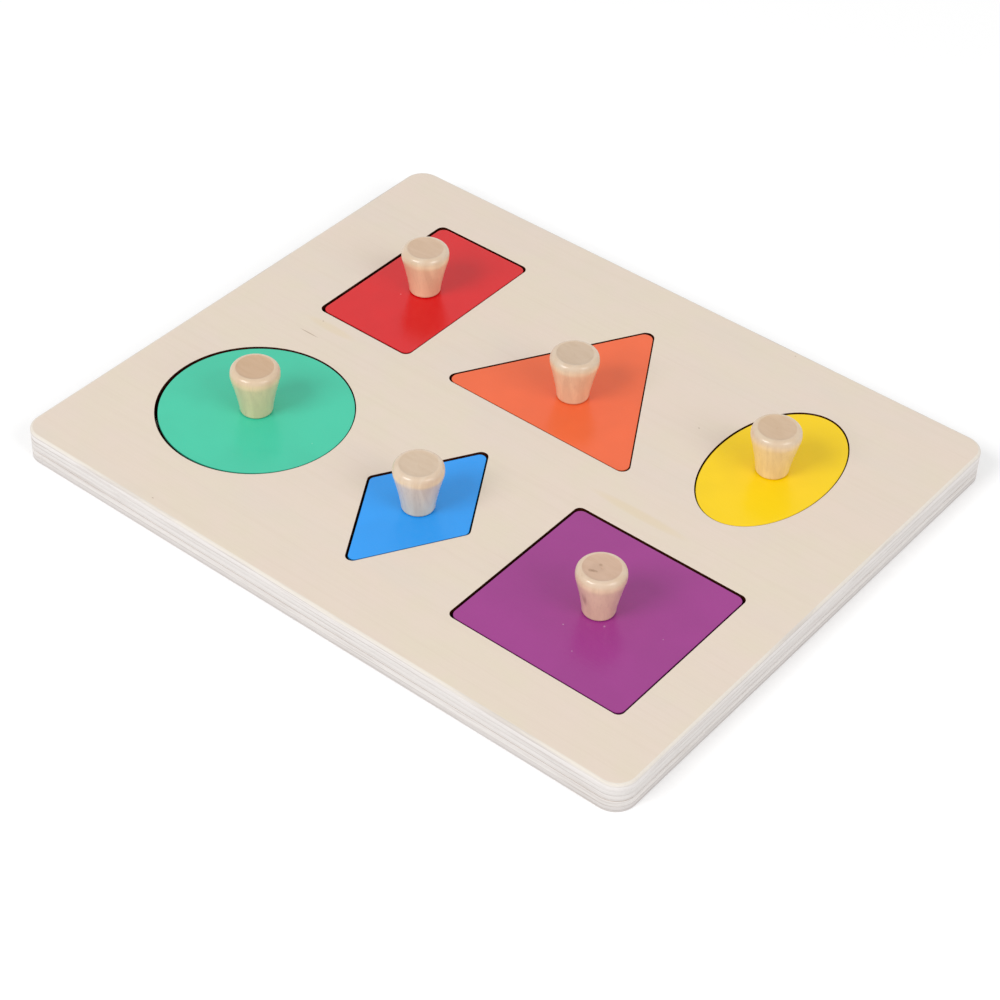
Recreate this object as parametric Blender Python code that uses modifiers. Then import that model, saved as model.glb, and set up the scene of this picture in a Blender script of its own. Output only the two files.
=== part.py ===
"""Six-shape knob puzzle: two plywood sheets, six painted insets, a turned knob on each.

Metres, +Z up. The origin is at the middle of the board's underside, X runs along the
board's long side and Y towards its back. Each inset lifts straight up out of its pocket.
"""
import math

import bmesh
import bpy

# Board: a frame sheet with the six pockets, glued on a plain backing sheet
FRAME_THICKNESS = 0.0084
BACKING_THICKNESS = 0.0053
GLUE_GAP = 0.0003
BOARD_CORNER_RADIUS = 0.009
TOP_EDGE_ROUNDING = 0.0011
LOWER_EDGE_ROUNDING = 0.0003

# Layout: wood left between pockets, and from the pockets to the board's edges
COLUMN_WEB = 0.0173
ROW_WEB = 0.0263
SIDE_MARGIN = 0.0219
FRONT_MARGIN = 0.0274
BACK_MARGIN = 0.0287

# Insets, measured to their sharp corners, and the radius that the cut leaves in each corner
CIRCLE_DIAMETER = 0.0795
RHOMBUS_WIDTH = 0.0502
RHOMBUS_DEPTH = 0.0850
RHOMBUS_CUT_RADIUS = 0.0021
SQUARE_SIDE = 0.0787
SQUARE_CUT_RADIUS = 0.0021
RECTANGLE_WIDTH = 0.0476
RECTANGLE_DEPTH = 0.0798
RECTANGLE_CUT_RADIUS = 0.0024
TRIANGLE_SIDE = 0.0949
TRIANGLE_CUT_RADIUS = 0.0030
ELLIPSE_WIDTH = 0.0486
ELLIPSE_DEPTH = 0.0804

# How the insets sit in the board. A pocket follows its inset's cut at an even distance, and
# then the insets' corners are sanded rounder, the square ones more than the pointed ones.
POCKET_CLEARANCE = 0.0007
TURNING_CLEARANCE = 0.00075
TIGHT_CLEARANCE = 0.0004
CORNER_SANDING = 0.0012
POINT_SANDING = 0.0005
SEAT_GAP = 0.0003
INSET_RECESS = 0.0003

# Turned knob
KNOB_HEIGHT = 0.0213
KNOB_DIAMETER = 0.0204
KNOB_WIDEST_HEIGHT = 0.0170
KNOB_FOOT_DIAMETER = 0.0135
KNOB_FOOT_ROUNDING = 0.0005
KNOB_TOP_DIAMETER = 0.0154
KNOB_TOP_DISH = 0.0003
KNOB_FLARE = 1.3
KNOB_SHOULDER = 2.4

# Countersunk wood screw, driven up through the inset into the knob
SCREW_LENGTH = 0.0160
SCREW_DIAMETER = 0.0030
SCREW_HEAD_DIAMETER = 0.0064
SCREW_HEAD_HEIGHT = 0.0019
SCREW_HEAD_RIM = 0.0003
SCREW_TIP_LENGTH = 0.0022
SCREW_RECESS = 0.0003
SCREW_CLEARANCE = 0.0003
CROSS_LENGTH = 0.0032
CROSS_WIDTH = 0.0007
CROSS_DEPTH = 0.0012

# Fineness of round shapes
CIRCLE_STEPS = 96
CORNER_STEPS = 6
ROUNDING_STEPS = 3
KNOB_STEPS = 32
SCREW_STEPS = 16
PROFILE_STEPS = 7
DISH_STEPS = 2
SHARP_ANGLE = math.radians(35)
FLAT_ANGLE = math.radians(1)
WELD_DISTANCE = 0.00001
CUTTER_MARGIN = 0.002

# Heights above the table
FRAME_BOTTOM = BACKING_THICKNESS + GLUE_GAP
FRAME_TOP = FRAME_BOTTOM + FRAME_THICKNESS
INSET_BOTTOM = BACKING_THICKNESS + SEAT_GAP
INSET_TOP = FRAME_TOP - INSET_RECESS
KNOB_BOTTOM = INSET_TOP + SEAT_GAP
SCREW_BOTTOM = INSET_BOTTOM + SCREW_RECESS

# Finishes: roughness, then colours in linear RGB
PLYWOOD_ROUGHNESS = 0.6
WAXED_ROUGHNESS = 0.4
PAINT_ROUGHNESS = 0.35
STEEL_ROUGHNESS = 0.35
PLYWOOD = (0.80, 0.70, 0.59)
KNOB_WOOD = (0.70, 0.52, 0.36)
STEEL = (0.55, 0.54, 0.52)
RED = (0.70, 0.045, 0.055)
ORANGE = (0.91, 0.17, 0.08)
YELLOW = (0.95, 0.64, 0.03)
GREEN = (0.09, 0.66, 0.41)
BLUE = (0.05, 0.35, 0.82)
PURPLE = (0.37, 0.065, 0.28)


def arc(centre, radius, start, sweep, steps):
    """Points along an arc, both ends included."""
    angles = [start + sweep * i / steps for i in range(steps + 1)]
    return [(centre[0] + radius * math.cos(a), centre[1] + radius * math.sin(a)) for a in angles]


def rounded_polygon(corners, radius, grow=0.0):
    """A convex polygon, counter-clockwise, rounded, then moved out by grow all round."""
    points = []
    for i, corner in enumerate(corners):
        before = corners[i - 1]
        after = corners[(i + 1) % len(corners)]
        heading_in = math.atan2(corner[1] - before[1], corner[0] - before[0])
        heading_out = math.atan2(after[1] - corner[1], after[0] - corner[0])
        turn = (heading_out - heading_in) % (2 * math.pi)
        inward = heading_in + math.pi / 2 + turn / 2
        reach = radius / math.cos(turn / 2)
        centre = (corner[0] + reach * math.cos(inward), corner[1] + reach * math.sin(inward))
        points += arc(centre, radius + grow, heading_in - math.pi / 2, turn, CORNER_STEPS)
    return points


def rectangle_corners(width, depth):
    x, y = width / 2, depth / 2
    return [(-x, -y), (x, -y), (x, y), (-x, y)]


def circle_outline(grow, sanded):
    """The circle moved out by grow. Sanding leaves it as it is."""
    points = arc((0, 0), CIRCLE_DIAMETER / 2 + grow, 0, 2 * math.pi, CIRCLE_STEPS)
    return points[:-1]


def ellipse_outline(grow, sanded):
    """The ellipse's points, each moved out along its own normal. Sanding leaves it as it is."""
    a, b = ELLIPSE_WIDTH / 2, ELLIPSE_DEPTH / 2
    points = []
    for i in range(CIRCLE_STEPS):
        c = math.cos(2 * math.pi * i / CIRCLE_STEPS)
        s = math.sin(2 * math.pi * i / CIRCLE_STEPS)
        normal = math.hypot(b * c, a * s)
        points.append((a * c + grow * b * c / normal, b * s + grow * a * s / normal))
    return points


def square_outline(grow, sanded):
    radius = SQUARE_CUT_RADIUS + sanded * CORNER_SANDING
    return rounded_polygon(rectangle_corners(SQUARE_SIDE, SQUARE_SIDE), radius, grow)


def rectangle_outline(grow, sanded):
    radius = RECTANGLE_CUT_RADIUS + sanded * CORNER_SANDING
    return rounded_polygon(rectangle_corners(RECTANGLE_WIDTH, RECTANGLE_DEPTH), radius, grow)


def rhombus_outline(grow, sanded):
    x, y = RHOMBUS_WIDTH / 2, RHOMBUS_DEPTH / 2
    radius = RHOMBUS_CUT_RADIUS + sanded * POINT_SANDING
    return rounded_polygon([(0, -y), (x, 0), (0, y), (-x, 0)], radius, grow)


def triangle_outline(grow, sanded):
    """An equilateral triangle about the middle of its height, with one point to the back."""
    x, y = TRIANGLE_SIDE / 2, TRIANGLE_SIDE * math.sqrt(3) / 4
    radius = TRIANGLE_CUT_RADIUS + sanded * POINT_SANDING
    return rounded_polygon([(-x, -y), (x, -y), (0, y)], radius, grow)


def inset_outline(piece):
    return piece["outline"](0.0, True)


def pocket_outline(piece):
    return piece["outline"](piece["clearance"], False)


# Columns -1, 0, 1 run left to right, and row 0 is the front one. The shift is how far the
# pocket lies off that grid, and the lie is how far the inset lies off the middle of its
# pocket. The knob stands at the middle of the inset, or knob away from it.
TRIANGLE_CENTROID = -TRIANGLE_SIDE * math.sqrt(3) / 12
PIECES = [
    {"name": "green_circle", "outline": circle_outline, "clearance": TURNING_CLEARANCE,
     "colour": GREEN, "column": -1, "row": 0, "shift": (0.0, 0.0012),
     "lie": (0.00033, 0.00032), "knob": (0.0, 0.0)},
    {"name": "blue_rhombus", "outline": rhombus_outline, "clearance": POCKET_CLEARANCE,
     "colour": BLUE, "column": 0, "row": 0, "shift": (0.0001, -0.0004),
     "lie": (0.00015, -0.00005), "knob": (0.0, -0.0003)},
    {"name": "purple_square", "outline": square_outline, "clearance": POCKET_CLEARANCE,
     "colour": PURPLE, "column": 1, "row": 0, "shift": (-0.0001, 0.0),
     "lie": (0.0001, -0.0001), "knob": (0.0009, -0.0010)},
    {"name": "red_rectangle", "outline": rectangle_outline, "clearance": POCKET_CLEARANCE,
     "colour": RED, "column": -1, "row": 1, "shift": (-0.0011, 0.0),
     "lie": (0.00025, 0.0001), "knob": (-0.0002, -0.0001)},
    {"name": "orange_triangle", "outline": triangle_outline, "clearance": TIGHT_CLEARANCE,
     "colour": ORANGE, "column": 0, "row": 1, "shift": (0.0034, 0.0001),
     "lie": (-0.00005, 0.0001), "knob": (0.0, TRIANGLE_CENTROID - 0.0017)},
    {"name": "yellow_ellipse", "outline": ellipse_outline, "clearance": TIGHT_CLEARANCE,
     "colour": YELLOW, "column": 1, "row": 1, "shift": (0.0040, 0.0004),
     "lie": (0.0001, -0.00006), "knob": (0.0, -0.0006)},
]


def half_extent(piece, axis):
    """Half the size of a piece's pocket along X (0) or Y (1)."""
    values = [point[axis] for point in pocket_outline(piece)]
    return (max(values) - min(values)) / 2


def widest(axis, **wanted):
    """The largest pocket half size among the pieces of one column or row."""
    chosen = [p for p in PIECES if all(p[key] == value for key, value in wanted.items())]
    return max(half_extent(p, axis) for p in chosen)


OUTER_HALF = max(widest(0, column=-1), widest(0, column=1))
SIDE_PITCHES = [widest(0, column=side, row=row) + widest(0, column=0, row=row)
                for side in (-1, 1) for row in (0, 1)]
COLUMN_PITCH = max(SIDE_PITCHES) + COLUMN_WEB
FRONT_HALF = widest(1, row=0)
BACK_HALF = widest(1, row=1)
ROW_PITCH = FRONT_HALF + BACK_HALF + ROW_WEB
BOARD_LENGTH = 2 * (COLUMN_PITCH + OUTER_HALF + SIDE_MARGIN)
BOARD_WIDTH = FRONT_MARGIN + FRONT_HALF + ROW_PITCH + BACK_HALF + BACK_MARGIN
FRONT_ROW_Y = -BOARD_WIDTH / 2 + FRONT_MARGIN + FRONT_HALF


def make_material(name, colour, roughness, metallic=0.0):
    material = bpy.data.materials.new(name)
    material.use_nodes = True
    shader = material.node_tree.nodes["Principled BSDF"]
    shader.inputs["Base Color"].default_value = (*colour, 1.0)
    shader.inputs["Roughness"].default_value = roughness
    shader.inputs["Metallic"].default_value = metallic
    material.diffuse_color = (*colour, 1.0)
    return material


def make_collection(name):
    collection = bpy.data.collections.new(name)
    bpy.context.scene.collection.children.link(collection)
    return collection


def mark_as_cutter(obj):
    obj.hide_render = True
    obj.display_type = "WIRE"


def make_slab(name, outline, bottom, top, collection):
    """A flat piece with the given outline, closed and welded, between two heights."""
    curve = bpy.data.curves.new(name, "CURVE")
    curve.dimensions = "2D"
    curve.fill_mode = "BOTH"
    curve.extrude = (top - bottom) / 2
    spline = curve.splines.new("POLY")
    spline.points.add(len(outline) - 1)
    for point, (x, y) in zip(spline.points, outline):
        point.co = (x, y, 0, 1)
    spline.use_cyclic_u = True
    drawn = bpy.data.objects.new(name + "_outline", curve)
    drawn.location = (0, 0, (bottom + top) / 2)
    collection.objects.link(drawn)
    bpy.context.view_layer.update()
    graph = bpy.context.evaluated_depsgraph_get()
    mesh = bpy.data.meshes.new_from_object(drawn.evaluated_get(graph))
    obj = bpy.data.objects.new(name, mesh)
    obj.matrix_world = drawn.matrix_world
    collection.objects.link(obj)
    bpy.data.objects.remove(drawn)
    shape = bmesh.new()
    shape.from_mesh(mesh)
    bmesh.ops.remove_doubles(shape, verts=shape.verts, dist=WELD_DISTANCE)
    bmesh.ops.dissolve_limit(shape, angle_limit=FLAT_ANGLE, verts=shape.verts, edges=shape.edges)
    bmesh.ops.recalc_face_normals(shape, faces=shape.faces)
    shape.to_mesh(mesh)
    shape.free()
    return obj


def round_rim(obj, side, radius):
    """Round the outer edge of a slab's top (side 1) or bottom (side -1)."""
    shape = bmesh.new()
    shape.from_mesh(obj.data)
    height = side * max(vertex.co.z for vertex in shape.verts)
    rim = [edge for edge in shape.edges
           if all(abs(vertex.co.z - height) < WELD_DISTANCE for vertex in edge.verts)]
    bmesh.ops.bevel(shape, geom=rim, offset=radius, offset_type="OFFSET", segments=ROUNDING_STEPS,
                    profile=0.5, affect="EDGES")
    shape.to_mesh(obj.data)
    shape.free()


def make_turned(name, profile, steps, collection):
    """A solid turned about its own Z from (radius, height) points, outer side from the top down."""
    mesh = bpy.data.meshes.new(name)
    edges = [(i, i + 1) for i in range(len(profile) - 1)]
    mesh.from_pydata([(radius, 0, height) for radius, height in profile], edges, [])
    obj = bpy.data.objects.new(name, mesh)
    collection.objects.link(obj)
    turn = obj.modifiers.new("turn", "SCREW")
    turn.axis = "Z"
    turn.steps = steps
    turn.render_steps = steps
    turn.use_merge_vertices = True
    turn.merge_threshold = WELD_DISTANCE
    turn.use_smooth_shade = True
    return obj


def cut(obj, cutter):
    boolean = obj.modifiers.new("cut_" + cutter.name, "BOOLEAN")
    boolean.operation = "DIFFERENCE"
    boolean.solver = "EXACT"
    boolean.object = cutter


def shade(obj, material, smooth=False):
    obj.data.materials.append(material)
    if smooth:
        obj.data.shade_smooth()
        obj.data.set_sharp_from_angle(angle=SHARP_ANGLE)


def knob_profile():
    """Flared outer side under a full shoulder, a slightly dished top, and the screw's blind hole."""
    widest_radius, top_radius = KNOB_DIAMETER / 2, KNOB_TOP_DIAMETER / 2
    foot_radius = KNOB_FOOT_DIAMETER / 2
    shoulder_height = KNOB_HEIGHT - KNOB_WIDEST_HEIGHT
    points = []
    for i in range(DISH_STEPS):
        share = i / DISH_STEPS
        points.append((top_radius * share, KNOB_HEIGHT - KNOB_TOP_DISH * (1 - share ** 2)))
    for i in range(PROFILE_STEPS + 1):
        angle = math.pi / 2 * (1 - i / PROFILE_STEPS)
        across = math.cos(angle) ** (2 / KNOB_SHOULDER)
        up = math.sin(angle) ** (2 / KNOB_SHOULDER)
        points.append((top_radius + (widest_radius - top_radius) * across,
                       KNOB_WIDEST_HEIGHT + shoulder_height * up))
    for i in range(1, PROFILE_STEPS + 1):
        share = 1 - i / PROFILE_STEPS
        height = KNOB_FOOT_ROUNDING + (KNOB_WIDEST_HEIGHT - KNOB_FOOT_ROUNDING) * share
        points.append((foot_radius + (widest_radius - foot_radius) * share ** KNOB_FLARE, height))
    points.append((foot_radius - KNOB_FOOT_ROUNDING, 0))
    hole_radius = SCREW_DIAMETER / 2 + SCREW_CLEARANCE
    screw_reach = SCREW_BOTTOM + SCREW_LENGTH - KNOB_BOTTOM
    points.append((hole_radius, 0))
    points.append((hole_radius, screw_reach - SCREW_TIP_LENGTH + SCREW_CLEARANCE))
    points.append((0, screw_reach + SCREW_CLEARANCE))
    return points


def screw_profile():
    """Point up, head down, from the tip to the flat of the head."""
    shank, head = SCREW_DIAMETER / 2, SCREW_HEAD_DIAMETER / 2
    return [(0, SCREW_LENGTH), (shank, SCREW_LENGTH - SCREW_TIP_LENGTH), (shank, SCREW_HEAD_HEIGHT),
            (head, SCREW_HEAD_RIM), (head, 0), (0, 0)]


def screw_hole_profile():
    """The countersunk hole through an inset, from above its top to below its underside."""
    shank = SCREW_DIAMETER / 2 + SCREW_CLEARANCE
    head = SCREW_HEAD_DIAMETER / 2 + SCREW_CLEARANCE
    cone_top = SCREW_HEAD_HEIGHT + SCREW_CLEARANCE
    cone_bottom = SCREW_HEAD_RIM + SCREW_CLEARANCE
    above = INSET_TOP - SCREW_BOTTOM + CUTTER_MARGIN
    return [(0, above), (shank, above), (shank, cone_top), (head, cone_bottom),
            (head, -CUTTER_MARGIN), (0, -CUTTER_MARGIN)]


def make_box(name, size, centre, collection):
    mesh = bpy.data.meshes.new(name)
    shape = bmesh.new()
    bmesh.ops.create_cube(shape, size=1)
    bmesh.ops.scale(shape, vec=size, verts=shape.verts)
    bmesh.ops.translate(shape, vec=centre, verts=shape.verts)
    shape.to_mesh(mesh)
    shape.free()
    obj = bpy.data.objects.new(name, mesh)
    collection.objects.link(obj)
    return obj


def make_board(parts, cutters, plywood):
    corners = rectangle_corners(BOARD_LENGTH, BOARD_WIDTH)
    outline = rounded_polygon(corners, BOARD_CORNER_RADIUS)
    backing = make_slab("backing_board", outline, 0, BACKING_THICKNESS, parts)
    round_rim(backing, 1, LOWER_EDGE_ROUNDING)
    round_rim(backing, -1, LOWER_EDGE_ROUNDING)
    frame = make_slab("frame_board", outline, FRAME_BOTTOM, FRAME_TOP, parts)
    round_rim(frame, -1, LOWER_EDGE_ROUNDING)
    round_rim(frame, 1, TOP_EDGE_ROUNDING)
    shade(backing, plywood)
    shade(frame, plywood)
    for piece in PIECES:
        pocket = make_slab(piece["name"] + "_pocket", pocket_outline(piece),
                           FRAME_BOTTOM - CUTTER_MARGIN, FRAME_TOP + CUTTER_MARGIN, cutters)
        x, y = pocket_centre(piece)
        pocket.location.x = x
        pocket.location.y = y
        mark_as_cutter(pocket)
        cut(frame, pocket)


def pocket_centre(piece):
    x = piece["column"] * COLUMN_PITCH + piece["shift"][0]
    y = FRONT_ROW_Y + piece["row"] * ROW_PITCH + piece["shift"][1]
    return x, y


def inset_centre(piece):
    x, y = pocket_centre(piece)
    return x + piece["lie"][0], y + piece["lie"][1]


def make_piece(piece, parts, cutters, knob_wood, steel):
    """An inset with its knob and screw, all hung from an empty on the knob's axis."""
    name = piece["name"]
    x, y = inset_centre(piece)
    knob_x, knob_y = piece["knob"]
    lift = bpy.data.objects.new(name + "_lift", None)
    lift.empty_display_size = KNOB_DIAMETER
    lift.location = (x + knob_x, y + knob_y, 0)
    parts.objects.link(lift)

    outline = [(px - knob_x, py - knob_y) for px, py in inset_outline(piece)]
    inset = make_slab(name + "_inset", outline, INSET_BOTTOM, INSET_TOP, parts)
    inset.parent = lift
    shade(inset, make_material(name + "_paint", piece["colour"], PAINT_ROUGHNESS))

    hole = make_turned(name + "_screw_hole", screw_hole_profile(), SCREW_STEPS, cutters)
    hole.location.z = SCREW_BOTTOM
    hole.parent = lift
    mark_as_cutter(hole)
    cut(inset, hole)

    knob = make_turned(name + "_knob", knob_profile(), KNOB_STEPS, parts)
    knob.location.z = KNOB_BOTTOM
    knob.parent = lift
    shade(knob, knob_wood, smooth=True)

    screw = make_turned(name + "_screw", screw_profile(), SCREW_STEPS, parts)
    screw.location.z = SCREW_BOTTOM
    screw.parent = lift
    shade(screw, steel, smooth=True)
    cross_height = CROSS_DEPTH + CUTTER_MARGIN
    centre = (0, 0, CROSS_DEPTH - cross_height / 2)
    for index, size in enumerate([(CROSS_LENGTH, CROSS_WIDTH, cross_height),
                                  (CROSS_WIDTH, CROSS_LENGTH, cross_height)]):
        slot = make_box("{}_cross_{}".format(name, index), size, centre, cutters)
        slot.location.z = SCREW_BOTTOM
        slot.parent = lift
        mark_as_cutter(slot)
        cut(screw, slot)


def main():
    for obj in list(bpy.data.objects):
        bpy.data.objects.remove(obj)
    parts = make_collection("shape_puzzle")
    cutters = make_collection("cutters")
    plywood = make_material("plywood", PLYWOOD, PLYWOOD_ROUGHNESS)
    knob_wood = make_material("knob_wood", KNOB_WOOD, WAXED_ROUGHNESS)
    steel = make_material("screw_steel", STEEL, STEEL_ROUGHNESS, metallic=1.0)
    make_board(parts, cutters, plywood)
    for piece in PIECES:
        make_piece(piece, parts, cutters, knob_wood, steel)
    bpy.context.view_layer.update()


main()
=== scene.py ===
"""Looks of the six-shape knob puzzle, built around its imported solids.

Metres, +Z up, in the solids' own frame. The outline and the heights of every sheet, inset,
knob and screw are read from the solid that the piece stands for.
"""
import math

import bmesh
import bpy
from mathutils import Matrix, Vector


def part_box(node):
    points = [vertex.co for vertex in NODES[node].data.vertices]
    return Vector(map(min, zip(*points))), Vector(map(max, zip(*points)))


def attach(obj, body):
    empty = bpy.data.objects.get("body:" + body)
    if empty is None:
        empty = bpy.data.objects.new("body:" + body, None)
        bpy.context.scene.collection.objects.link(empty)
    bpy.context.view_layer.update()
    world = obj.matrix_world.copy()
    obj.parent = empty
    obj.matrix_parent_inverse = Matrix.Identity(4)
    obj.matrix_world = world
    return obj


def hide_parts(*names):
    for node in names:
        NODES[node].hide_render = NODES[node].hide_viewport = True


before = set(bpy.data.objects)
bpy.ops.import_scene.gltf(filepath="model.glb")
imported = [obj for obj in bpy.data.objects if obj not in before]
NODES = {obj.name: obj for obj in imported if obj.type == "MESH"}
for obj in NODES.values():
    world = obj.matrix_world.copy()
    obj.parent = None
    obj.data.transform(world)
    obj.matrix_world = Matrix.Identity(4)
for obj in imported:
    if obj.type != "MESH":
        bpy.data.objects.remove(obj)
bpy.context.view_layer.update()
SHAPES = ("green_circle", "blue_rhombus", "purple_square",
          "red_rectangle", "orange_triangle", "yellow_ellipse")

# Material slots after a piece's first, and the sockets of a Mix node that carry colours
EDGE_SLOT = 1
BARE_SLOT = 1
DISC_SLOT = 1
SCORCHED_SLOT = 2
MIX_COLOUR_INPUTS = (6, 7)
MIX_COLOUR_OUTPUT = 2

# Reading outlines from the solids
LEVEL_TOLERANCE = 0.000004
WELD_DISTANCE = 0.000001
STRAIGHT_TURN = math.radians(0.6)
STRAIGHT_TO_ARC = 2.5

# Fine shapes that the solids leave out
SHARP_ANGLE = math.radians(40)
ROUNDING_STEPS = 6
FLAT_MARGIN = 0.0005
TOP_ROUNDING = 0.0011
LOWER_ROUNDING = 0.0003
POCKET_RIM = 0.00015
INSET_RIM = 0.0003
INSET_LOWER_RIM = 0.00015
SCREW_HOLE_STEPS = 48
GROOVE_DEPTH = 0.00005
GROOVE_HALF_HEIGHT = 0.00009
# Strips down a pocket's rim that the cutting beam left pale, and down an inset's rim that
# the paint covers
POCKET_BARE_STRIPS = 3
INSET_PAINTED_STRIPS = 3

# Plywood layers: heights of the glue lines above the table, and each layer's lower edge,
# 1 where its grain runs across, and its tone
PLY_RAMP_HEIGHT = 0.02
PLY_WOBBLE = 0.0007
GLUE_LINE_REACH = (0.00004, 0.00030)
FRAME_GLUE_LINES = (0.0084, 0.0104, 0.0128)
BACKING_GLUE_LINES = (0.0010, 0.0028)
PLY_LAYERS = ((0.0, 0, (0.655, 0.615, 0.600)), (0.0010, 1, (0.720, 0.680, 0.660)),
              (0.0028, 0, (0.835, 0.795, 0.765)), (0.0045, 0, (0.780, 0.740, 0.713)),
              (0.0055, 0, (0.730, 0.692, 0.670)), (0.0066, 0, (0.785, 0.748, 0.724)),
              (0.0084, 1, (0.800, 0.765, 0.740)), (0.0104, 0, (0.850, 0.808, 0.785)),
              (0.0128, 0, (0.805, 0.755, 0.700)), (0.0135, 0, (0.810, 0.748, 0.665)))

# Knob proportions
KNOB_STEPS = 96
KNOB_DISC_SHARE = 0.755
KNOB_FOOT_SHARE = 0.662
KNOB_WIDEST_SHARE = 0.798
KNOB_FLARE = 1.3
KNOB_SHOULDER = 2.4
KNOB_BELLY_ROUNDING = 0.0009
KNOB_DISH = 0.00035
KNOB_RIM_WIDTH = 0.00035
KNOB_FOOT_ROUNDING = 0.0005
LATHE_DOT_RADIUS = 0.00035
LATHE_DOT_DEPTH = 0.0002
SHOULDER_STEPS = 16
BELLY_STEPS = 6
FLARE_STEPS = 22
DISH_STEPS = 6
BLIND_HOLE_RADIUS = 0.0018
BLIND_HOLE_DEPTH = 0.0082
# One knob was turned slimmer than the rest
KNOB_GIRTHS = {"purple_square": 0.962}
# Heights between which a knob's tone goes from foot to body, and from body to shoulder; the body,
# and still more the foot, are made paler by painted light bounced up from below
FOOT_PAINTED_LIGHT_HEIGHTS = (0.0150, 0.0290)
SHOULDER_TONE_HEIGHTS = (0.0318, 0.0345)
# Warmer and paler woods from knob to knob: the side's tint and the top's
WOOD_TINTS = {
    "green_circle": ((1.00, 0.96, 0.88), (0.94, 0.87, 0.77)),
    "blue_rhombus": ((1.03, 1.04, 1.05), (1.03, 1.09, 1.11)),
    "purple_square": ((1.01, 0.97, 0.96), (0.98, 0.91, 0.91)),
    "red_rectangle": ((1.02, 1.01, 0.99), (1.02, 1.00, 0.98)),
    "orange_triangle": ((1.00, 1.00, 1.00), (0.96, 1.00, 1.01)),
    "yellow_ellipse": ((1.00, 0.99, 0.93), (1.00, 0.99, 0.93)),
}
# Brown flecks in a knob's top: place from the knob's middle, half length, half width, strength
FLECKS = {"purple_square": ((-0.00245, -0.00386, 0.0011, 0.0009, 0.40),
                            (-0.00155, -0.00329, 0.0010, 0.0008, 0.45),
                            (-0.00053, -0.00283, 0.0009, 0.0006, 0.35),
                            (-0.00134, 0.00101, 0.0009, 0.0008, 0.35),
                            (-0.00120, -0.00120, 0.0036, 0.0032, 0.12))}
# Brown streaks down a knob's side: place, radius, heights and strength
STREAKS = {"purple_square": (((-0.0014, -0.0084), 0.0015, (0.0180, 0.0290), 0.55),
                             ((-0.0028, -0.0074), 0.0012, (0.0334, 0.0354), 0.45))}
# Pale specks in the paint: place and radius
SPECKS = {"purple_square": ((0.0954, -0.0611, 0.0005), (0.0832, -0.0702, 0.0004))}

# Camera, found from the photograph's outlines, and its frame
CAMERA_LENS = 90.69
CAMERA_SENSOR = 36.0
CAMERA_TARGET = Vector((0.02212, -0.03183, 0.0140))
CAMERA_DISTANCE = 0.9785
CAMERA_AZIMUTH = math.radians(37.506)
CAMERA_ELEVATION = math.radians(41.261)
CAMERA_ROLL = math.radians(2.326)

# Light: shares of a plain level at which a colour renders about as it is written
AMBIENT_LEVEL = 0.60
KEY_LEVEL = 0.27
KEY_DIRECTION = (-0.20, -0.72, 0.66)
SIDE_LEVEL = 0.15
SIDE_DIRECTION = (0.80, -0.06, 0.60)
LAMP_DISTANCE = 3.4
KEY_LAMP_SIZE = 1.40
SIDE_LAMP_SIZE = 1.70
FLOOR_SIZE = 2.4
FLOOR_SQUARES = 4
FLOOR_COLOUR = (0.86, 0.86, 0.86)
FLOOR_GLOW = 0.2

# Paint colours, linear, before the gloss adds its white
PAINTS = {
    "green_circle": (0.052, 0.607, 0.392),
    "blue_rhombus": (0.018, 0.342, 0.950),
    "purple_square": (0.348, 0.035, 0.260),
    "red_rectangle": (0.720, 0.002, 0.006),
    "orange_triangle": (0.906, 0.142, 0.041),
    "yellow_ellipse": (0.970, 0.660, 0.001),
}
# Gloss of the paints, and of the one that is duller than the rest
PAINT_SPECULAR = 0.43
DULLER_PAINTS = {"yellow_ellipse": 0.30}
# The paint's own clouds and pale dust, and how it darkens and ends below an inset's rim
DEEPER_SHARE = 0.94
PALER_SHARE = 0.25
DUST_LEVELS = (0.89, 0.93)
SOAKED_SHARE = 0.42
SOAKED_RAGGED = 0.0005
SOAKED_DEPTHS = (0.0005, 0.0012)

# Other colours, linear: the tones of the plain wood and what lies in it
FACE_TONES = ((0.760, 0.664, 0.570), (0.785, 0.668, 0.562))
FACE_PATCH = (0.775, 0.680, 0.550)
FACE_MOTTLE = (0.800, 0.668, 0.585)
FACE_STREAK = (0.720, 0.605, 0.490)
FACE_FIBRE = (0.670, 0.550, 0.435)
WARM_MARK = (0.760, 0.630, 0.440)
DARK_MARK = (0.300, 0.190, 0.110)
EDGE_GRAIN = (0.670, 0.620, 0.590)
EDGE_STREAK = (0.610, 0.555, 0.520)
GLUE_LINE = (0.480, 0.425, 0.390)
CHAR_TONES = ((0.030, 0.0044, 0.0018), (0.068, 0.0140, 0.0050))
CHAR_FLECK = (0.100, 0.032, 0.013)
# The knob's body and foot tones are its wood lightened by painted light bounced up from below; the
# tone near its top is the wood's own
KNOB_BODY_WITH_PAINTED_LIGHT = (0.875, 0.675, 0.460)
KNOB_NEAR_TOP = (0.700, 0.555, 0.415)
KNOB_FOOT_PAINTED_LIGHT = (0.900, 0.705, 0.465)
KNOB_RING = (0.65, 0.46, 0.30)
KNOB_FIBRE = (0.58, 0.41, 0.27)
KNOB_STREAK = (0.25, 0.13, 0.07)
DISC_TONES = ((0.650, 0.480, 0.350), (0.620, 0.450, 0.320))
DISC_PORE = (0.500, 0.345, 0.230)
DISC_FLECK = (0.22, 0.11, 0.06)
STEEL_TONES = ((0.60, 0.59, 0.56), (0.50, 0.49, 0.47))

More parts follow.
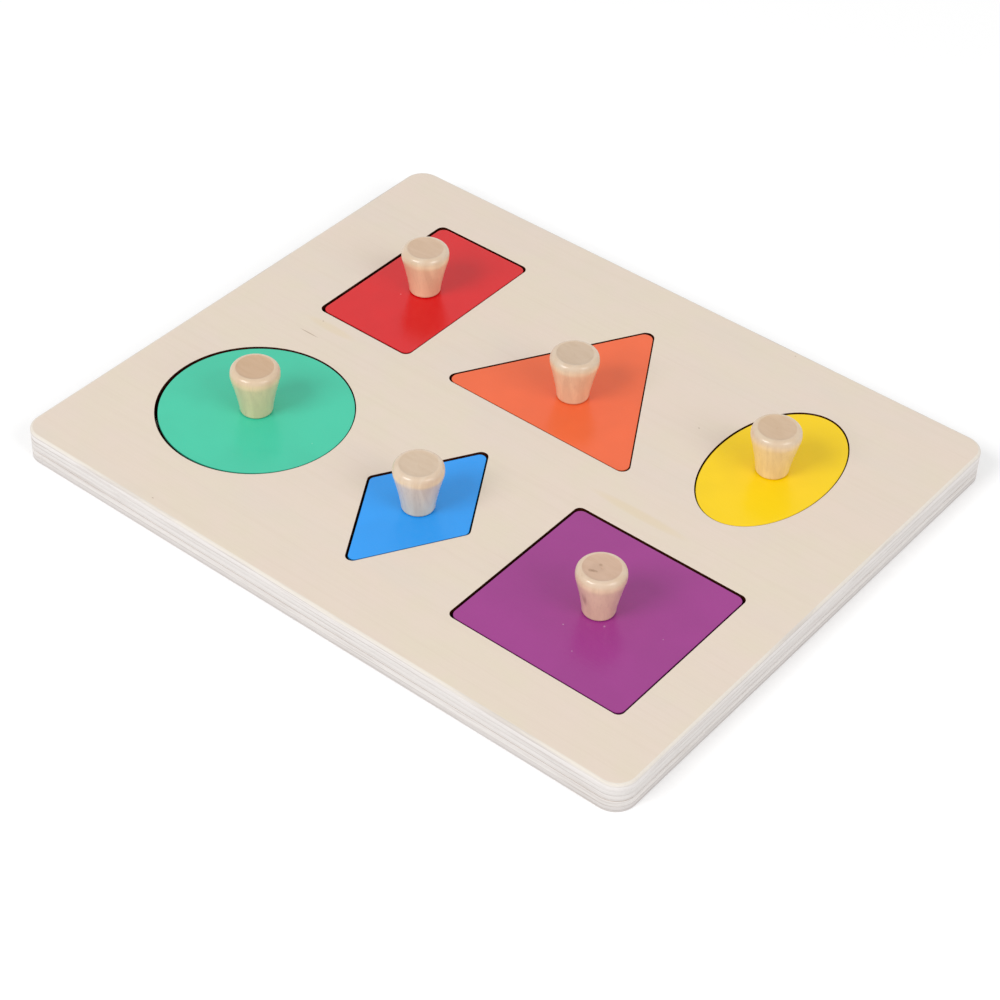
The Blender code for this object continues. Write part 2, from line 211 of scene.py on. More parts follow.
# Marks in the frame's face: middle X and Y, half length and half width, and strength
DARK_MARKS = ((-0.1050, -0.0020, 0.0060, 0.00035, 0.55),
              (0.0550, 0.0550, 0.0005, 0.00035, 0.60),
              (-0.1060, 0.0080, 0.0005, 0.00040, 0.50),
              (-0.0800, -0.1190, 0.0006, 0.00035, 0.50),
              (0.0580, 0.1200, 0.0005, 0.00035, 0.45))
WARM_MARKS = ((0.0680, -0.0030, 0.0260, 0.0030, 0.60),
              (-0.1000, 0.0065, 0.0150, 0.0028, 0.50))


# Outlines

def closed_loops(edges):
    """Chain edges into closed loops of vertices."""
    follow = {}
    for edge in edges:
        first, second = edge.verts
        follow.setdefault(first, []).append(second)
        follow.setdefault(second, []).append(first)
    loops = []
    unused = set(follow)
    while unused:
        start = min(unused, key=lambda vertex: vertex.index)
        loop = [start]
        unused.discard(start)
        onward = [v for v in follow[start] if v in unused]
        while onward:
            loop.append(onward[0])
            unused.discard(onward[0])
            onward = [v for v in follow[onward[0]] if v in unused]
        loops.append(loop)
    return loops


def loop_area(points):
    """Signed area, positive for a counter-clockwise loop."""
    return sum(a.x * b.y - b.x * a.y for a, b in zip(points, points[1:] + points[:1])) / 2


def turn_at(points, i):
    """The change of direction at a point of a loop, in radians."""
    before = points[i] - points[i - 1]
    after = points[(i + 1) % len(points)] - points[i]
    return before.angle_signed(after, 0.0)


def level_loops(node, height):
    """A solid's outlines at one height: counter-clockwise loops of points, largest first."""
    shape = bmesh.new()
    shape.from_mesh(NODES[node].data)
    bmesh.ops.remove_doubles(shape, verts=shape.verts, dist=WELD_DISTANCE)
    shape.verts.index_update()

    def is_level(element):
        return all(abs(v.co.z - height) < LEVEL_TOLERANCE for v in element.verts)

    edges = [edge for edge in shape.edges
             if is_level(edge) and not all(is_level(face) for face in edge.link_faces)]
    loops = []
    for loop in closed_loops(edges):
        points = [Vector((v.co.x, v.co.y)) for v in loop]
        if loop_area(points) < 0:
            points.reverse()
        loops.append([p for i, p in enumerate(points) if abs(turn_at(points, i)) > STRAIGHT_TURN])
    shape.free()
    return sorted(loops, key=loop_area, reverse=True)


def refine(points, pieces):
    """Split each chord of an arc in equal pieces on a smooth curve, and leave straight sides."""
    count = len(points)
    chords = [(points[(i + 1) % count] - points[i]) for i in range(count)]
    shortest = min(chord.length for chord in chords)
    straight = [chord.length > STRAIGHT_TO_ARC * shortest for chord in chords]
    if all(straight):
        straight = [False] * count

    def tangent(i):
        before, after = i - 1, i % count
        if straight[before]:
            return chords[before].normalized()
        if straight[after]:
            return chords[after].normalized()
        return (chords[before].normalized() + chords[after].normalized()).normalized()

    refined = []
    for i, chord in enumerate(chords):
        refined.append(points[i])
        if straight[i]:
            continue
        leave = tangent(i) * chord.length
        arrive = tangent((i + 1) % count) * chord.length
        for step in range(1, pieces):
            t = step / pieces
            refined.append((2 * t ** 3 - 3 * t ** 2 + 1) * points[i]
                           + (t ** 3 - 2 * t ** 2 + t) * leave
                           + (3 * t ** 2 - 2 * t ** 3) * points[(i + 1) % count]
                           + (t ** 3 - t ** 2) * arrive)
    return refined


def offset_loop(points, distance):
    """The loop moved outwards by a distance, with mitred corners."""
    moved = []
    for i, point in enumerate(points):
        before = (point - points[i - 1]).normalized()
        after = (points[(i + 1) % len(points)] - point).normalized()
        normal_before = Vector((before.y, -before.x))
        normal_after = Vector((after.y, -after.x))
        across = (normal_before + normal_after).normalized()
        moved.append(point + across * (distance / across.dot(normal_after)))
    return moved


# Section profiles: (distance out from the outline, height) from the top down

def rounded_top(radius, top):
    """From the flat's margin over a quarter circle to the wall."""
    points = [(-radius - FLAT_MARGIN, top), (-radius, top)]
    for step in range(1, ROUNDING_STEPS + 1):
        angle = math.pi / 2 * step / ROUNDING_STEPS
        points.append((-radius + radius * math.sin(angle), top - radius + radius * math.cos(angle)))
    return points


def rounded_bottom(radius, bottom):
    return [(out, 2 * bottom - height) for out, height in reversed(rounded_top(radius, bottom))]


def grooved_wall(glue_lines):
    """A shallow sanded groove at each glue line, from the top down."""
    points = []
    for height in sorted(glue_lines, reverse=True):
        points += [(0.0, height + GROOVE_HALF_HEIGHT), (-GROOVE_DEPTH, height),
                   (0.0, height - GROOVE_HALF_HEIGHT)]
    return points


# Meshes

def new_piece(name, shape, materials):
    mesh = bpy.data.meshes.new(name)
    bmesh.ops.recalc_face_normals(shape, faces=shape.faces)
    shape.to_mesh(mesh)
    shape.free()
    for material in materials:
        mesh.materials.append(material)
    mesh.shade_smooth()
    mesh.set_sharp_from_angle(angle=SHARP_ANGLE)
    return add_object(name, mesh)


def add_object(name, data):
    obj = bpy.data.objects.new(name, data)
    bpy.context.scene.collection.objects.link(obj)
    return obj


def add_skirt(shape, outline, profile, side, slots):
    """Sweep a profile round an outline. Side is 1 for an outer edge and -1 for a hole's edge.

    Returns the edges of its first and last ring. Slots gives the material of each strip.
    """
    rings = []
    for out, height in profile:
        ring = offset_loop(outline, side * out)
        rings.append([shape.verts.new((p.x, p.y, height)) for p in ring])
    join_rings(shape, rings, slots)
    return end_edges(shape, rings)


def join_rings(shape, rings, slots):
    """A strip of faces between each ring and the next, with the slot of its material."""
    for slot, upper, lower in zip(slots, rings, rings[1:]):
        for i in range(len(upper)):
            j = (i + 1) % len(upper)
            face = shape.faces.new((upper[i], lower[i], lower[j], upper[j]))
            face.material_index = slot


def end_edges(shape, rings):
    """The edges of the first ring and of the last."""
    return [[shape.edges.get((a, b)) for a, b in zip(ring, ring[1:] + ring[:1])]
            for ring in (rings[0], rings[-1])]


def cap(shape, edges, slot):
    """Fill the flat region between the given rings."""
    filled = bmesh.ops.triangle_fill(shape, edges=edges, use_beauty=True, normal=(0, 0, 1))
    for element in filled["geom"]:
        if isinstance(element, bmesh.types.BMFace):
            element.material_index = slot


def strip_slots(profile, wall_slot):
    """Flat margins take the first material and all between them takes the wall's."""
    return [0] + [wall_slot] * (len(profile) - 3) + [0]


def add_sheet(shape, outline, profile, holes, hole_profile, slots, hole_slots):
    """A flat sheet with holes, closed all round."""
    top, bottom = add_skirt(shape, outline, profile, 1, slots)
    for hole in holes:
        hole_top, hole_bottom = add_skirt(shape, hole, hole_profile, -1, hole_slots)
        top += hole_top
        bottom += hole_bottom
    cap(shape, top, slots[0])
    cap(shape, bottom, slots[-1])


def round_ring(shape, centre, radius, height, steps):
    ring = []
    for step in range(steps):
        angle = 2 * math.pi * step / steps
        ring.append(shape.verts.new((centre.x + radius * math.cos(angle),
                                     centre.y + radius * math.sin(angle), height)))
    return ring


def add_turned(shape, profile, centre, steps, slots):
    """Turn (radius, height) points about a vertical axis, from the top down and closed.

    Slots gives the material of each strip.
    """
    rings = []
    for radius, height in profile:
        on_axis = radius < WELD_DISTANCE
        rings.append(round_ring(shape, centre, radius, height, 1 if on_axis else steps))
    for slot, upper, lower in zip(slots, rings, rings[1:]):
        for i in range(steps):
            j = (i + 1) % steps
            corners = [upper[i % len(upper)], lower[i % len(lower)],
                       lower[j % len(lower)], upper[j % len(upper)]]
            unique = [v for k, v in enumerate(corners) if v not in corners[:k]]
            if len(unique) > 2:
                shape.faces.new(unique).material_index = slot


# Materials

class Recipe:
    """A material built from short calls on its nodes."""

    def __init__(self, name):
        self.material = bpy.data.materials.new(name)
        self.material.use_nodes = True
        self.tree = self.material.node_tree
        self.shader = self.tree.nodes["Principled BSDF"]

    def add(self, kind, **settings):
        node = self.tree.nodes.new(kind)
        for key, value in settings.items():
            setattr(node, key, value)
        return node

    def feed(self, socket, value):
        """Link another node's output to a socket, or set the socket to a plain value."""
        if isinstance(value, bpy.types.NodeSocket):
            self.tree.links.new(value, socket)
        else:
            socket.default_value = value

    def place(self, stretch, shift=(0.0, 0.0, 0.0)):
        """The piece's own coordinates, times a stretch along each axis."""
        if not hasattr(self, "own"):
            self.own = self.add("ShaderNodeTexCoord").outputs["Object"]
        mapping = self.add("ShaderNodeMapping")
        self.feed(mapping.inputs["Vector"], self.own)
        mapping.inputs["Scale"].default_value = stretch
        mapping.inputs["Location"].default_value = shift
        return mapping.outputs["Vector"]

    def noise(self, place, detail=2.0, roughness=0.5, distortion=0.0):
        """Smooth noise from about 0.2 to 0.8, with one lump to a unit of the place."""
        node = self.add("ShaderNodeTexNoise")
        self.feed(node.inputs["Vector"], place)
        node.inputs["Scale"].default_value = 1.0
        node.inputs["Detail"].default_value = detail
        node.inputs["Roughness"].default_value = roughness
        node.inputs["Distortion"].default_value = distortion
        return node.outputs["Fac"]

    def calc(self, operation, first, second=0.0, third=0.0):
        node = self.add("ShaderNodeMath", operation=operation)
        for socket, value in zip(node.inputs, (first, second, third)):
            self.feed(socket, value)
        return node.outputs["Value"]

    def span(self, value, low, high, to_low=0.0, to_high=1.0):
        """Stretch a value's range low to high over to_low to to_high, held at both ends."""
        node = self.add("ShaderNodeMapRange", interpolation_type="SMOOTHSTEP")
        for key, entry in (("Value", value), ("From Min", low), ("From Max", high),
                           ("To Min", to_low), ("To Max", to_high)):
            self.feed(node.inputs[key], entry)
        return node.outputs["Result"]

    def blend(self, share, first, second):
        """The first colour at a share of 0 and the second at 1, or each a plain colour."""
        node = self.add("ShaderNodeMix", data_type="RGBA")
        self.feed(node.inputs["Factor"], share)
        for index, value in zip(MIX_COLOUR_INPUTS, (first, second)):
            if isinstance(value, bpy.types.NodeSocket):
                self.tree.links.new(value, node.inputs[index])
            else:
                node.inputs[index].default_value = (*value, 1.0)
        return node.outputs[MIX_COLOUR_OUTPUT]

    def steps(self, value, levels):
        """Plain colours in steps: each (position, colour) holds from its position upwards."""
        node = self.add("ShaderNodeValToRGB")
        node.color_ramp.interpolation = "CONSTANT"
        stops = node.color_ramp.elements
        while len(stops) < len(levels):
            stops.new(1.0)
        for stop, (position, colour) in zip(stops, levels):
            stop.position = position
            stop.color = (*colour, 1.0)
        self.feed(node.inputs["Fac"], value)
        return node.outputs["Color"]

    def axis(self, name):
        if not hasattr(self, "split"):
            self.split = self.add("ShaderNodeSeparateXYZ")
            self.feed(self.split.inputs[0], self.place((1.0, 1.0, 1.0)))
        return self.split.outputs[name]

    def bump(self, height, distance):
        node = self.add("ShaderNodeBump")
        self.feed(node.inputs["Height"], height)
        node.inputs["Distance"].default_value = distance
        self.feed(self.shader.inputs["Normal"], node.outputs["Normal"])

    def mark(self, x, y, half_length, half_width, strength):
        """A long soft spot seen from above: its strength in the middle, 0 at its edge."""
        across = self.calc("DIVIDE", self.calc("SUBTRACT", self.axis("X"), x), half_length)
        up = self.calc("DIVIDE", self.calc("SUBTRACT", self.axis("Y"), y), half_width)
        squared = self.calc("MULTIPLY_ADD", across, across, self.calc("MULTIPLY", up, up))
        return self.span(squared, 0.1, 1.0, strength, 0.0)

    def finish(self, colour, roughness, specular=0.5):
        self.feed(self.shader.inputs["Base Color"], colour)
        self.feed(self.shader.inputs["Roughness"], roughness)
        self.shader.inputs["Specular IOR Level"].default_value = specular
        return self.material


def tinted(colour, tint):
    """A colour times a factor for each of its three parts."""
    return tuple(c * t for c, t in zip(colour, tint))


def face_veneer(name, warm_marks=(), dark_marks=()):
    """The sanded face of pale plywood, its grain along X."""
    r = Recipe(name)
    fibres = r.noise(r.place((60.0, 2600.0, 2600.0)), 3.0, 0.6)
    streaks = r.noise(r.place((9.0, 420.0, 420.0)), 3.0, 0.55, 0.3)
    bands = r.noise(r.place((4.0, 38.0, 38.0), (3.0, 1.0, 0.0)), 2.0, 0.5, 0.6)
    patches = r.noise(r.place((22.0, 34.0, 30.0), (0.0, 7.0, 0.0)), 2.0, 0.5)
    mottle = r.noise(r.place((75.0, 75.0, 75.0), (2.0, 0.0, 5.0)), 1.0, 0.5)
    colour = r.blend(r.span(bands, 0.30, 0.70), *FACE_TONES)
    colour = r.blend(r.span(patches, 0.35, 0.70), colour, FACE_PATCH)
    colour = r.blend(r.span(mottle, 0.35, 0.65, 0.0, 0.35), colour, FACE_MOTTLE)
    colour = r.blend(r.span(streaks, 0.45, 0.75, 0.0, 0.20), colour, FACE_STREAK)
    colour = r.blend(r.span(fibres, 0.50, 0.80, 0.0, 0.14), colour, FACE_FIBRE)
    for spot in warm_marks:
        colour = r.blend(r.mark(*spot), colour, WARM_MARK)
    for spot in dark_marks:
        colour = r.blend(r.mark(*spot), colour, DARK_MARK)
    r.bump(r.calc("ADD", fibres, streaks), 0.00003)
    return r.finish(colour, r.span(fibres, 0.3, 0.7, 0.52, 0.64), 0.4)


def ply_edge():
    """The sanded edge of the sheets: pale layers, their grain turning from one to the next."""
    r = Recipe("plywood_edge")
    along = r.noise(r.place((26.0, 1500.0, 2300.0)), 3.0, 0.6)
    across = r.noise(r.place((1500.0, 26.0, 2300.0)), 3.0, 0.6)
    streaks = r.noise(r.place((26.0, 26.0, 560.0), (0.0, 4.0, 1.0)), 3.0, 0.55, 0.4)
    height = r.axis("Z")
    wobble = r.noise(r.place((30.0, 30.0, 10.0)), 2.0, 0.5)
    height = r.calc("MULTIPLY_ADD", r.calc("SUBTRACT", wobble, 0.5), PLY_WOBBLE, height)
    place = r.calc("DIVIDE", height, PLY_RAMP_HEIGHT)
    crossed = r.steps(place, [(low / PLY_RAMP_HEIGHT, (c, c, c)) for low, c, _ in PLY_LAYERS])
    pale = r.steps(place, [(low / PLY_RAMP_HEIGHT, tone) for low, _, tone in PLY_LAYERS])
    grain = r.blend(crossed, along, across)
    colour = r.blend(r.span(grain, 0.42, 0.72, 0.0, 0.30), pale, EDGE_GRAIN)
    colour = r.blend(r.span(streaks, 0.50, 0.72, 0.0, 0.60), colour, EDGE_STREAK)
    seen = r.span(r.noise(r.place((16.0, 16.0, 300.0), (6.0, 0.0, 0.0))), 0.40, 0.60, 0.15, 0.60)
    for level in FRAME_GLUE_LINES + BACKING_GLUE_LINES:
        near = r.calc("ABSOLUTE", r.calc("SUBTRACT", height, level))
        line = r.calc("MULTIPLY", r.span(near, *GLUE_LINE_REACH, 1.0, 0.0), seen)
        colour = r.blend(line, colour, GLUE_LINE)
    r.bump(grain, 0.00008)
    return r.finish(colour, 0.72, 0.3)


def scorched_edge(name, paint=None, top=0.0):
    """The edge that the cutting beam left: brown-black, a little lighter in patches.

    On an inset, the paint that ran over the rim darkens into it.
    """
    r = Recipe(name)
    char = r.noise(r.place((320.0, 320.0, 900.0)), 3.0, 0.6)
    fine = r.noise(r.place((2600.0, 2600.0, 260.0)), 2.0, 0.5)
    colour = r.blend(r.span(char, 0.35, 0.70), *CHAR_TONES)
    colour = r.blend(r.span(fine, 0.50, 0.80, 0.0, 0.5), colour, CHAR_FLECK)
    if paint:
        depth = r.calc("MULTIPLY_ADD", char, SOAKED_RAGGED, r.calc("SUBTRACT", top, r.axis("Z")))
        soaked = tinted(paint, [SOAKED_SHARE] * 3)
        colour = r.blend(r.span(depth, *SOAKED_DEPTHS, 1.0, 0.0), colour, soaked)
    r.bump(fine, 0.00006)
    return r.finish(colour, 0.90, 0.0)


def painted(name, colour):
    """Satin paint rolled on plywood: faint grain under it and a rare pale speck."""
    r = Recipe(name + "_paint")
    grain = r.noise(r.place((40.0, 900.0, 900.0)), 3.0, 0.6)
    roller = r.noise(r.place((1400.0, 1400.0, 1400.0)), 2.0, 0.5)
    clouds = r.noise(r.place((45.0, 45.0, 45.0)), 2.0, 0.5)
    dust = r.noise(r.place((600.0, 600.0, 600.0), (0.0, 0.0, 9.0)), 0.0)
    deeper = tinted(colour, [DEEPER_SHARE] * 3)
    tint = r.blend(r.span(clouds, 0.3, 0.7), colour, deeper)
    paler = tuple(c + PALER_SHARE * (1.0 - c) for c in colour)
    tint = r.blend(r.span(dust, *DUST_LEVELS, 0.0, 0.6), tint, paler)
    for x, y, radius in SPECKS.get(name, ()):
        tint = r.blend(r.mark(x, y, radius, radius, 0.8), tint, paler)
    r.bump(r.calc("MULTIPLY_ADD", grain, 1.5, roller), 0.00002)
    return r.finish(tint, r.span(grain, 0.3, 0.7, 0.20, 0.26),
                    DULLER_PAINTS.get(name, PAINT_SPECULAR))


def turned_side(name, seed, middle):
    """The side of a knob: waxed beech, its grain along the knob's axis, and painted light that
    makes it paler below.
    """
    r = Recipe(name + "_knob_wood")
    shift = (seed * 1.7, seed * 3.1, seed * 0.9)
    fibres = r.noise(r.place((1500.0, 1500.0, 70.0), shift), 3.0, 0.6)
    rings = r.noise(r.place((260.0, 120.0, 12.0), shift), 2.0, 0.5, 0.8)
    tint = WOOD_TINTS[name][0]
    # Painted light: the body below the shoulder is paler than the shoulder
    colour = r.blend(r.span(r.axis("Z"), *SHOULDER_TONE_HEIGHTS),
                     tinted(KNOB_BODY_WITH_PAINTED_LIGHT, tint), tinted(KNOB_NEAR_TOP, tint))
    # Painted light: paler still towards the foot, as if lit from below
    colour = r.blend(r.span(r.axis("Z"), *FOOT_PAINTED_LIGHT_HEIGHTS, 1.0, 0.0),
                     colour, tinted(KNOB_FOOT_PAINTED_LIGHT, tint))
    colour = r.blend(r.span(rings, 0.35, 0.68, 0.0, 0.5), colour, KNOB_RING)
    colour = r.blend(r.span(fibres, 0.48, 0.78, 0.0, 0.28), colour, KNOB_FIBRE)
    for (x, y), radius, heights, strength in STREAKS.get(name, ()):
        seen = r.mark(middle.x + x, middle.y + y, radius, radius, strength)
        low, high = heights
        off = r.calc("ABSOLUTE", r.calc("SUBTRACT", r.axis("Z"), (low + high) / 2))
        seen = r.calc("MULTIPLY", seen, r.span(off, 0.0, (high - low) / 2, 1.0, 0.0))
        colour = r.blend(seen, colour, KNOB_STREAK)
    r.bump(fibres, 0.00002)
    r.shader.inputs["Coat Weight"].default_value = 0.9
    r.shader.inputs["Coat Roughness"].default_value = 0.19
    return r.finish(colour, r.span(fibres, 0.3, 0.7, 0.34, 0.42), 0.35)


def turned_disc(name, seed, middle):
    """The top of a knob: smooth end grain, a little greyer than the side."""
    r = Recipe(name + "_knob_top")
    shift = (seed * 2.3, seed * 1.1, seed * 0.7)
    pores = r.noise(r.place((2400.0, 2400.0, 2400.0), shift), 2.0, 0.5)
    years = r.noise(r.place((110.0, 420.0, 60.0), shift), 2.0, 0.5, 0.5)
    tint = WOOD_TINTS[name][1]
    colour = r.blend(r.span(years, 0.35, 0.68), *(tinted(tone, tint) for tone in DISC_TONES))
    colour = r.blend(r.span(pores, 0.55, 0.80, 0.0, 0.25), colour, DISC_PORE)
    for x, y, half_length, half_width, strength in FLECKS.get(name, ()):
        seen = r.mark(middle.x + x, middle.y + y, half_length, half_width, strength)
        colour = r.blend(seen, colour, DISC_FLECK)
    r.bump(pores, 0.00001)
    return r.finish(colour, 0.42, 0.4)


def zinc_steel():
    """Zinc-plated steel with fine turning marks."""
    r = Recipe("screw_steel")
    brushed = r.noise(r.place((900.0, 900.0, 3500.0)), 2.0, 0.5)
    colour = r.blend(r.span(brushed, 0.3, 0.7), *STEEL_TONES)
    r.shader.inputs["Metallic"].default_value = 1.0
    r.bump(brushed, 0.00001)
    return r.finish(colour, r.span(brushed, 0.3, 0.7, 0.25, 0.42))


# Pieces

def stand_for(obj, node, body, slot):
    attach(obj, body)
    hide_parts(node)


def widest_loop(node):
    """The outline of a sheet's upright wall."""
    heights = {round(v.co.z, 6) for v in NODES[node].data.vertices}
    return max((loops[0] for loops in (level_loops(node, h) for h in heights) if loops),
               key=loop_area)


def make_frame_sheet(face, edge, scorched):
    low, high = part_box("frame_board")
    outline = refine(widest_loop("frame_board"), 3)
    pockets = [refine(loop, 2) for loop in level_loops("frame_board", high.z)[1:]]
    profile = (rounded_top(TOP_ROUNDING, high.z) + grooved_wall(FRAME_GLUE_LINES)
               + rounded_bottom(LOWER_ROUNDING, low.z))
    rim = rounded_top(POCKET_RIM, high.z) + rounded_bottom(POCKET_RIM, low.z)
    rim_slots = strip_slots(rim, SCORCHED_SLOT)
    rim_slots[:POCKET_BARE_STRIPS] = [0] * POCKET_BARE_STRIPS
    shape = bmesh.new()
    add_sheet(shape, outline, profile, pockets, rim, strip_slots(profile, EDGE_SLOT), rim_slots)
    sheet = new_piece("frame_sheet", shape, [face, edge, scorched])
    stand_for(sheet, "frame_board", "board", "plywood")


def make_backing_sheet(face, edge):
    low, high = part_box("backing_board")
    outline = refine(widest_loop("backing_board"), 3)
    profile = (rounded_top(LOWER_ROUNDING, high.z) + grooved_wall(BACKING_GLUE_LINES)
               + rounded_bottom(LOWER_ROUNDING, low.z))
    shape = bmesh.new()
    add_sheet(shape, outline, profile, [], [], strip_slots(profile, EDGE_SLOT), [])
    sheet = new_piece("backing_sheet", shape, [face, edge])
    stand_for(sheet, "backing_board", "board", "plywood")


def make_inset(name, paint, bare, scorched):
    node = name + "_inset"
    low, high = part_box(node)
    outline, hole = level_loops(node, high.z)
    lower_hole = level_loops(node, low.z)[1]
    outline = refine(outline, 2)
    profile = rounded_top(INSET_RIM, high.z) + rounded_bottom(INSET_LOWER_RIM, low.z)
    slots = strip_slots(profile, SCORCHED_SLOT)
    slots[:INSET_PAINTED_STRIPS] = [0] * INSET_PAINTED_STRIPS
    slots[-1] = BARE_SLOT
    shape = bmesh.new()
    top, bottom = add_skirt(shape, outline, profile, 1, slots)
    hole_top, hole_bottom = add_screw_hole(shape, node, hole, lower_hole, low.z, high.z)
    cap(shape, top + hole_top, 0)
    cap(shape, bottom + hole_bottom, BARE_SLOT)
    inset = new_piece(name + "_painted_inset", shape, [paint, bare, scorched])
    stand_for(inset, node, name, name.split("_")[0] + "_paint")


def loop_circle(points):
    """Centre and radius of a round loop."""
    centre = sum(points, Vector((0.0, 0.0))) / len(points)
    return centre, max((p - centre).length for p in points)


def add_screw_hole(shape, node, upper, lower, bottom, top):
    """The countersunk hole, and the edges of its two rims."""
    centre, shank = loop_circle(upper)
    head = loop_circle(lower)[1]
    heights = sorted({round(v.co.z, 6) for v in NODES[node].data.vertices})
    between = [h for h in heights if bottom + LEVEL_TOLERANCE < h < top - LEVEL_TOLERANCE]
    profile = [(shank, top), (shank, max(between)), (head, min(between)), (head, bottom)]
    rings = [round_ring(shape, centre, radius, height, SCREW_HOLE_STEPS)
             for radius, height in profile]
    join_rings(shape, rings, [BARE_SLOT] * (len(rings) - 1))
    return end_edges(shape, rings)


def disc_profile(disc, top):
    """The lathe's centre dot, the dished disc and its crisp rim, from the middle outwards."""
    points = [(0.0, top - KNOB_DISH - LATHE_DOT_DEPTH),
              (LATHE_DOT_RADIUS * 0.6, top - KNOB_DISH - LATHE_DOT_DEPTH * 0.7),
              (LATHE_DOT_RADIUS, top - KNOB_DISH)]
    flat = disc - KNOB_RIM_WIDTH
    for step in range(1, DISH_STEPS + 1):
        share = step / DISH_STEPS
        reach = LATHE_DOT_RADIUS + (flat - LATHE_DOT_RADIUS) * share
        points.append((reach, top - KNOB_DISH * (1 - 0.55 * share ** 2)))
    points.append((disc - KNOB_RIM_WIDTH * 0.35, top - KNOB_DISH * 0.10))
    return points


def side_profile(disc, radius, foot, bottom, top):
    """Full shoulder, softly turned belly, flared side and rounded foot, from the top down."""
    widest = bottom + (top - bottom) * KNOB_WIDEST_SHARE
    flare_bottom = bottom + KNOB_FOOT_ROUNDING
    belly_top = widest + KNOB_BELLY_ROUNDING

    def flare(height):
        share = (height - flare_bottom) / (widest - flare_bottom)
        return foot + (radius - foot) * share ** KNOB_FLARE

    points = []
    for step in range(SHOULDER_STEPS + 1):
        angle = math.pi / 2 * (1 - step / SHOULDER_STEPS)
        across = math.cos(angle) ** (2 / KNOB_SHOULDER)
        up = math.sin(angle) ** (2 / KNOB_SHOULDER)
        points.append((disc + (radius - disc) * across, belly_top + (top - belly_top) * up))
    belly_bottom = widest - KNOB_BELLY_ROUNDING
    for step in range(1, BELLY_STEPS + 1):
        t = step / BELLY_STEPS
        reach = (1 - t ** 2) * radius + t ** 2 * flare(belly_bottom)
        points.append((reach, belly_top + (belly_bottom - belly_top) * t))
    for step in range(1, FLARE_STEPS + 1):
        height = belly_bottom + (flare_bottom - belly_bottom) * step / FLARE_STEPS
        points.append((flare(height), height))
    points.append((foot - KNOB_FOOT_ROUNDING * 0.3, bottom + KNOB_FOOT_ROUNDING * 0.3))
    points.append((foot - KNOB_FOOT_ROUNDING, bottom))
    return points


def make_knob(name, seed):
    node = name + "_knob"
    low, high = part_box(node)
    centre = (low + high) / 2
    wood = turned_side(name, seed, centre)
    disc_wood = turned_disc(name, seed, centre)
    radius = (high.x - low.x) / 2 * KNOB_GIRTHS.get(name, 1.0)
    disc = radius * KNOB_DISC_SHARE
    over = disc_profile(disc, high.z)
    side = side_profile(disc, radius, radius * KNOB_FOOT_SHARE, low.z, high.z)
    hole = [(BLIND_HOLE_RADIUS, low.z),
            (BLIND_HOLE_RADIUS, low.z + BLIND_HOLE_DEPTH - BLIND_HOLE_RADIUS),
            (0.0, low.z + BLIND_HOLE_DEPTH)]
    shape = bmesh.new()
    slots = [DISC_SLOT] * len(over) + [0] * (len(side) + len(hole))
    add_turned(shape, over + side + hole, centre, KNOB_STEPS, slots)
    knob = new_piece(name + "_turned_knob", shape, [wood, disc_wood])
    stand_for(knob, node, name, "knob_wood")


def make_pieces():
    face = face_veneer("plywood_face", WARM_MARKS, DARK_MARKS)
    bare = face_veneer("plywood_bare")
    edge = ply_edge()
    steel = zinc_steel()
    make_frame_sheet(face, edge, scorched_edge("scorched_pocket"))
    make_backing_sheet(bare, edge)
    for seed, name in enumerate(SHAPES):
        paint = PAINTS[name]
        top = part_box(name + "_inset")[1].z
        make_inset(name, painted(name, paint), bare, scorched_edge(name + "_scorched", paint, top))
        make_knob(name, seed)
        NODES[name + "_screw"].data.materials.clear()
        NODES[name + "_screw"].data.materials.append(steel)


# Stage

def ray_is(tree, kinds):
    """1 for a ray of one of the kinds and 0 for any other."""
    ray = tree.nodes.new("ShaderNodeLightPath")
    strongest = ray.outputs[kinds[0]]
    for kind in kinds[1:]:
        larger = tree.nodes.new("ShaderNodeMath")
        larger.operation = "MAXIMUM"
        tree.links.new(strongest, larger.inputs[0])
        tree.links.new(ray.outputs[kind], larger.inputs[1])
        strongest = larger.outputs[0]
    return strongest


def make_floor():
    """White paper that takes the object's shadow, lifted a little where a lens or gloss sees it."""
    mesh = bpy.data.meshes.new("floor")
    shape = bmesh.new()
    bmesh.ops.create_grid(shape, x_segments=FLOOR_SQUARES, y_segments=FLOOR_SQUARES,
                          size=FLOOR_SIZE / 2)
    shape.to_mesh(mesh)
    shape.free()
    floor = add_object("floor", mesh)
    material = bpy.data.materials.new("floor_white")
    material.use_nodes = True
    tree = material.node_tree
    tree.nodes.clear()
    output = tree.nodes.new("ShaderNodeOutputMaterial")
    paper = tree.nodes.new("ShaderNodeBsdfDiffuse")
    paper.inputs["Color"].default_value = (*FLOOR_COLOUR, 1.0)
    glow = tree.nodes.new("ShaderNodeEmission")
    lift = tree.nodes.new("ShaderNodeMath")
    lift.operation = "MULTIPLY"
    lift.inputs[1].default_value = FLOOR_GLOW
    tree.links.new(ray_is(tree, ("Is Camera Ray", "Is Glossy Ray")), lift.inputs[0])
    tree.links.new(lift.outputs[0], glow.inputs["Strength"])
    both = tree.nodes.new("ShaderNodeAddShader")
    tree.links.new(paper.outputs[0], both.inputs[0])
    tree.links.new(glow.outputs[0], both.inputs[1])
    tree.links.new(both.outputs[0], output.inputs["Surface"])
    mesh.materials.append(material)


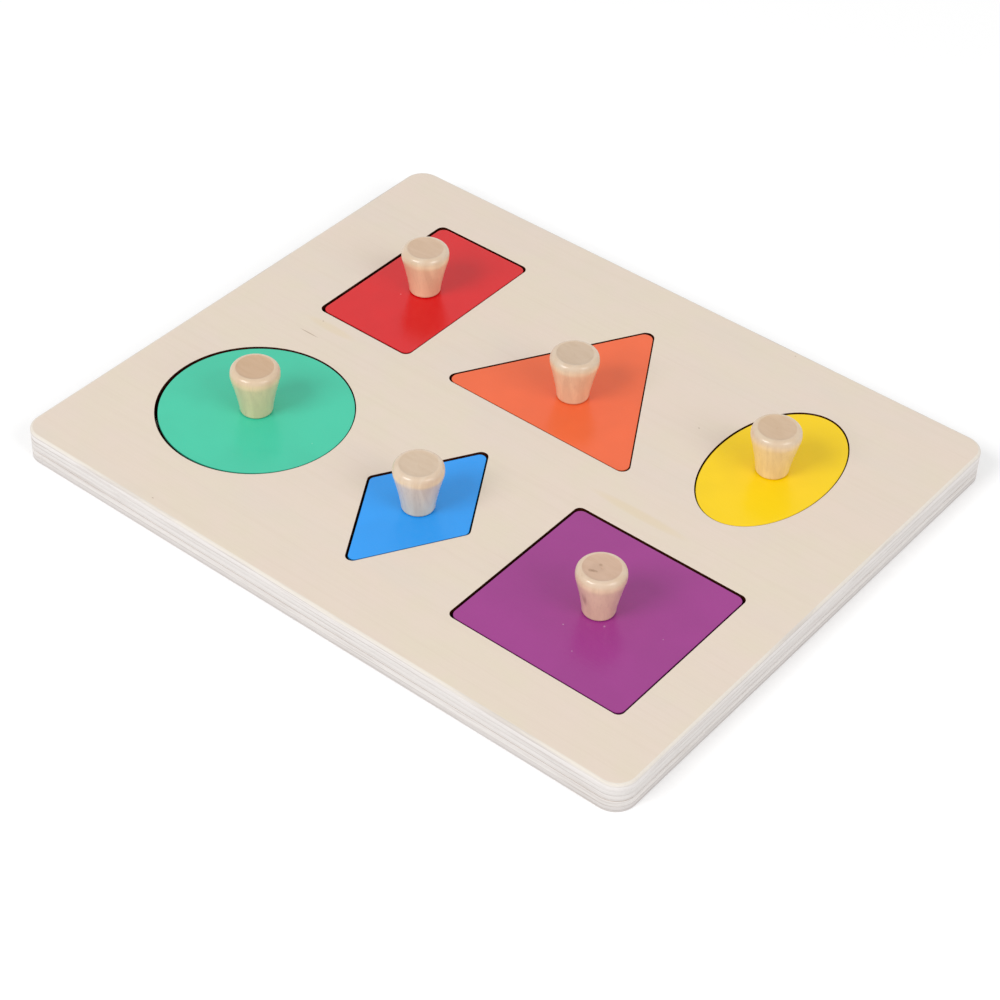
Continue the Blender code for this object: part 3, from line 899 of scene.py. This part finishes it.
def make_world():
    """White to the camera and to gloss, and a plain soft light on everything else."""
    world = bpy.data.worlds.new("studio")
    bpy.context.scene.world = world
    world.use_nodes = True
    tree = world.node_tree
    backdrop = tree.nodes["Background"]
    seen = ray_is(tree, ("Is Camera Ray", "Is Glossy Ray", "Is Transmission Ray"))
    level = tree.nodes.new("ShaderNodeMapRange")
    level.inputs["To Min"].default_value = AMBIENT_LEVEL
    level.inputs["To Max"].default_value = 1.0
    tree.links.new(seen, level.inputs["Value"])
    tree.links.new(level.outputs["Result"], backdrop.inputs["Strength"])
    backdrop.inputs["Color"].default_value = (1.0, 1.0, 1.0, 1.0)


def make_lamp(name, direction, size, level):
    """A square soft box that gives a level surface the stated share of the plain level."""
    towards = Vector(direction).normalized()
    lamp = bpy.data.lights.new(name, "AREA")
    lamp.shape = "SQUARE"
    lamp.size = size
    # A lamp lights a facing surface with energy / (pi * distance squared), and pi is plain level
    lamp.energy = level * math.pi * math.pi * LAMP_DISTANCE ** 2 / towards.z
    obj = add_object(name, lamp)
    obj.location = towards * LAMP_DISTANCE
    obj.rotation_mode = "QUATERNION"
    obj.rotation_quaternion = towards.to_track_quat("Z", "Y")


def make_camera():
    data = bpy.data.cameras.new("camera")
    data.sensor_fit = "AUTO"
    data.sensor_width = CAMERA_SENSOR
    data.lens = CAMERA_LENS
    back = Vector((math.sin(CAMERA_AZIMUTH) * math.cos(CAMERA_ELEVATION),
                   -math.cos(CAMERA_AZIMUTH) * math.cos(CAMERA_ELEVATION),
                   math.sin(CAMERA_ELEVATION)))
    right = Vector((0, 0, 1)).cross(back).normalized()
    up = back.cross(right)
    rolled_right = right * math.cos(CAMERA_ROLL) + up * math.sin(CAMERA_ROLL)
    rolled_up = up * math.cos(CAMERA_ROLL) - right * math.sin(CAMERA_ROLL)
    turn = Matrix((rolled_right, rolled_up, back)).transposed()
    camera = add_object("camera", data)
    camera.matrix_world = Matrix.Translation(CAMERA_TARGET + back * CAMERA_DISTANCE) @ turn.to_4x4()
    bpy.context.scene.camera = camera


make_camera()
make_pieces()
make_floor()
make_world()
make_lamp("key_lamp", KEY_DIRECTION, KEY_LAMP_SIZE, KEY_LEVEL)
make_lamp("side_lamp", SIDE_DIRECTION, SIDE_LAMP_SIZE, SIDE_LEVEL)
bpy.context.scene.view_settings.view_transform = "Standard"
